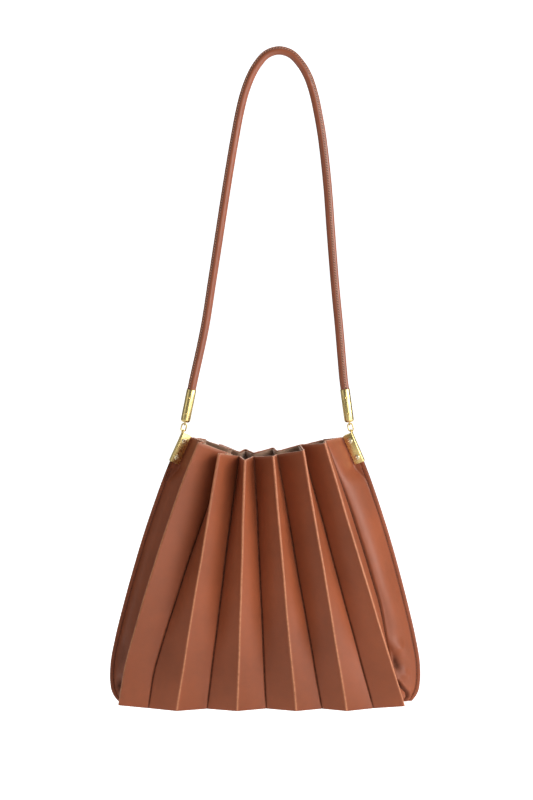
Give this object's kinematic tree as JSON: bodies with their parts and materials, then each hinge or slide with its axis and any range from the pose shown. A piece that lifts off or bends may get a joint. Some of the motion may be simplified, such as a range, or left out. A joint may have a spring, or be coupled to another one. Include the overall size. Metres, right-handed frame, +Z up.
{
  "type": "pleated leather shoulder bag",
  "caption": "Fan-pleated leather shoulder bag with an open mouth, metal corner plates, small links and a round strap, held up by its strap.",
  "frame": {"origin": "underside of the strap at its highest point, where the bag hangs", "axes": "+Z up, +X along the bag's width to the viewer's right, the front faces -Y"},
  "size_m": [0.312, 0.0968, 0.6545],
  "materials": {
    "leather": "smooth saddle brown, soft sheen",
    "lining": "taupe suede cloth",
    "base_leather": "smooth saddle brown",
    "strap": "smooth rolled leather with a stitched seam",
    "gold": "polished gold plate",
    "screws": "polished gold plate"
  },
  "bodies": {
    "root": {"front_panel": "leather", "back_panel": "leather", "front_lining": "lining", "back_lining": "lining", "base": "base_leather", "strap_cord": "strap", "corner_clip_left": "gold", "corner_clip_right": "gold", "clip_screw_left_upper": "screws", "clip_screw_left_lower": "screws", "clip_screw_right_upper": "screws", "clip_screw_right_lower": "screws", "link_left": "gold", "link_right": "gold", "ferrule_left": "gold", "ferrule_right": "gold"}
  },
  "joints": []
}
